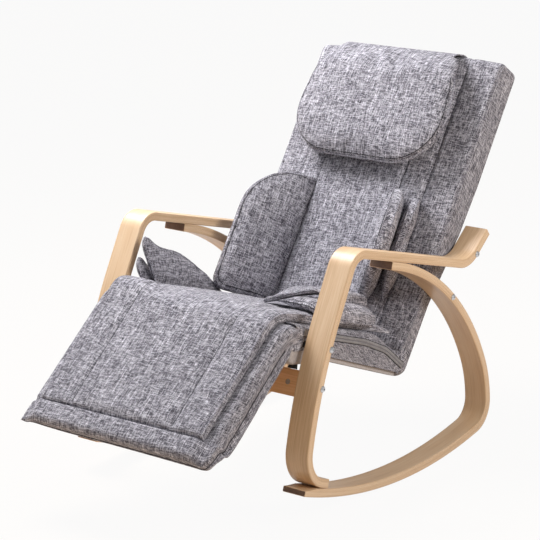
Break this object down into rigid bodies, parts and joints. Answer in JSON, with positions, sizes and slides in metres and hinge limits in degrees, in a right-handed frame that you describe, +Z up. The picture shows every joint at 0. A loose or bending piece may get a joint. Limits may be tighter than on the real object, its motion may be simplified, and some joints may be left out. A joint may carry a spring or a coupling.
{
  "type": "massage rocking chair",
  "caption": "Bentwood rocking chair with a padded seat and back, a folding leg rest, a head pillow, waist and hip pads and a kneading mechanism in the back.",
  "frame": {"origin": "on the floor, under the middle of the whole chair", "axes": "+Z up, -Y the way the chair faces, +X across the chair towards the near side of the picture"},
  "size_m": [0.659, 1.2204, 0.9092],
  "materials": {
    "birch": "satin",
    "grey_fabric": "matte",
    "zip_cloth": "matte",
    "lining_board": "matte",
    "covered_board": "matte",
    "steel": "satin",
    "black_steel": "satin",
    "rubber": "matte",
    "black_plastic": "matte"
  },
  "bodies": {
    "chair": {"arm_leg_strip_right": "birch", "arm_leg_strip_left": "birch", "rocker_strip_right": "birch", "rocker_strip_left": "birch", "front_cross_rail": "birch", "rail_barrel_nut_right": "steel", "rail_barrel_nut_left": "steel", "rail_bumper_right": "rubber", "rail_bumper_left": "rubber", "bolt_front_bar_right": "steel", "bolt_front_bar_left": "steel", "bolt_low_bar_right": "steel", "bolt_low_bar_left": "steel", "bolt_high_bar_right": "steel", "bolt_high_bar_left": "steel", "bolt_rail_right": "steel", "bolt_rail_left": "steel", "seat_frame": "black_steel", "base_cushion": "grey_fabric", "seat_pan": "lining_board", "power_inlet": "black_plastic", "control_box": "black_plastic", "air_pump": "black_plastic", "zip_tape": "zip_cloth", "seat_pad": "grey_fabric", "back_cushion": "grey_fabric", "back_board": "covered_board", "guide_rod_right": "steel", "guide_rod_left": "steel", "rod_holder_low": "black_plastic", "rod_holder_high": "black_plastic", "pillow_strap": "grey_fabric", "hip_pad_lower_right": "grey_fabric", "hip_pad_lower_left": "grey_fabric", "hinge_leaf_seat_right": "steel", "hinge_leaf_seat_left": "steel", "hinge_pin_right": "steel", "hinge_pin_left": "steel"},
    "leg_rest": {"leg_rest_base": "grey_fabric", "leg_rest_board": "lining_board", "calf_pad": "grey_fabric", "hinge_leaf_leg_right": "steel", "hinge_leaf_leg_left": "steel"},
    "pillow": {"head_pillow": "grey_fabric"},
    "waist_inner_right": {"waist_pad_inner_right": "grey_fabric"},
    "waist_inner_left": {"waist_pad_inner_left": "grey_fabric"},
    "waist_outer_right": {"waist_pad_outer_right": "grey_fabric"},
    "waist_outer_left": {"waist_pad_outer_left": "grey_fabric"},
    "hip_upper_right": {"hip_pad_upper_right": "grey_fabric"},
    "hip_upper_left": {"hip_pad_upper_left": "grey_fabric"},
    "carriage": {"massage_carriage": "black_plastic", "massage_motor": "steel"},
    "head_right": {"massage_head_right": "black_plastic"},
    "head_left": {"massage_head_left": "black_plastic"},
    "zip_pull": {"zip_slider": "steel"}
  },
  "joints": [
    {"name": "leg_rest_fold", "type": "hinge", "parent": "chair", "child": "leg_rest", "pos_m": [0, -0.30343, 0.378], "axis": [1, 0, 0], "range_deg": [0, 40]},
    {"name": "pillow_lift", "type": "hinge", "parent": "chair", "child": "pillow", "pos_m": [0, 0.47957, 0.90256], "axis": [-1, 0, 0], "range_deg": [0, 100]},
    {"name": "waist_inner_right_fold", "type": "hinge", "parent": "chair", "child": "waist_inner_right", "pos_m": [0.119, 0.18949, 0.41323], "axis": [0, -0.5563, -0.831], "range_deg": [0, 20]},
    {"name": "waist_inner_left_fold", "type": "hinge", "parent": "chair", "child": "waist_inner_left", "pos_m": [-0.119, 0.18949, 0.41323], "axis": [0, 0.5563, 0.831], "range_deg": [0, 20]},
    {"name": "waist_outer_right_fold", "type": "hinge", "parent": "chair", "child": "waist_outer_right", "pos_m": [0.172, 0.19707, 0.40815], "axis": [0, 0.5563, 0.831], "range_deg": [0, 8]},
    {"name": "waist_outer_left_fold", "type": "hinge", "parent": "chair", "child": "waist_outer_left", "pos_m": [-0.172, 0.19707, 0.40815], "axis": [0, -0.5563, -0.831], "range_deg": [0, 8]},
    {"name": "hip_upper_right_fold", "type": "hinge", "parent": "chair", "child": "hip_upper_right", "pos_m": [0.204, -0.04687, 0.42344], "axis": [0, 0.9553, -0.2957], "range_deg": [0, 24]},
    {"name": "hip_upper_left_fold", "type": "hinge", "parent": "chair", "child": "hip_upper_left", "pos_m": [-0.212, -0.05713, 0.39029], "axis": [0, 0.9553, -0.2957], "range_deg": [0, 75]},
    {"name": "carriage_travel", "type": "slide", "parent": "chair", "child": "carriage", "axis": [0, 0.5563, 0.831], "range_m": [-0.1, 0.085]},
    {"name": "head_right_turn", "type": "hinge", "parent": "carriage", "child": "head_right", "pos_m": [0.075, 0.45949, 0.7018], "axis": [0, -0.831, 0.5563], "continuous": true},
    {"name": "head_left_turn", "type": "hinge", "parent": "carriage", "child": "head_left", "pos_m": [-0.075, 0.45949, 0.7018], "axis": [0, -0.831, 0.5563], "continuous": true},
    {"name": "zip_run", "type": "slide", "parent": "chair", "child": "zip_pull", "axis": [0, 0.9487, -0.3162], "range_m": [-0.03, 0.13]}
  ]
}
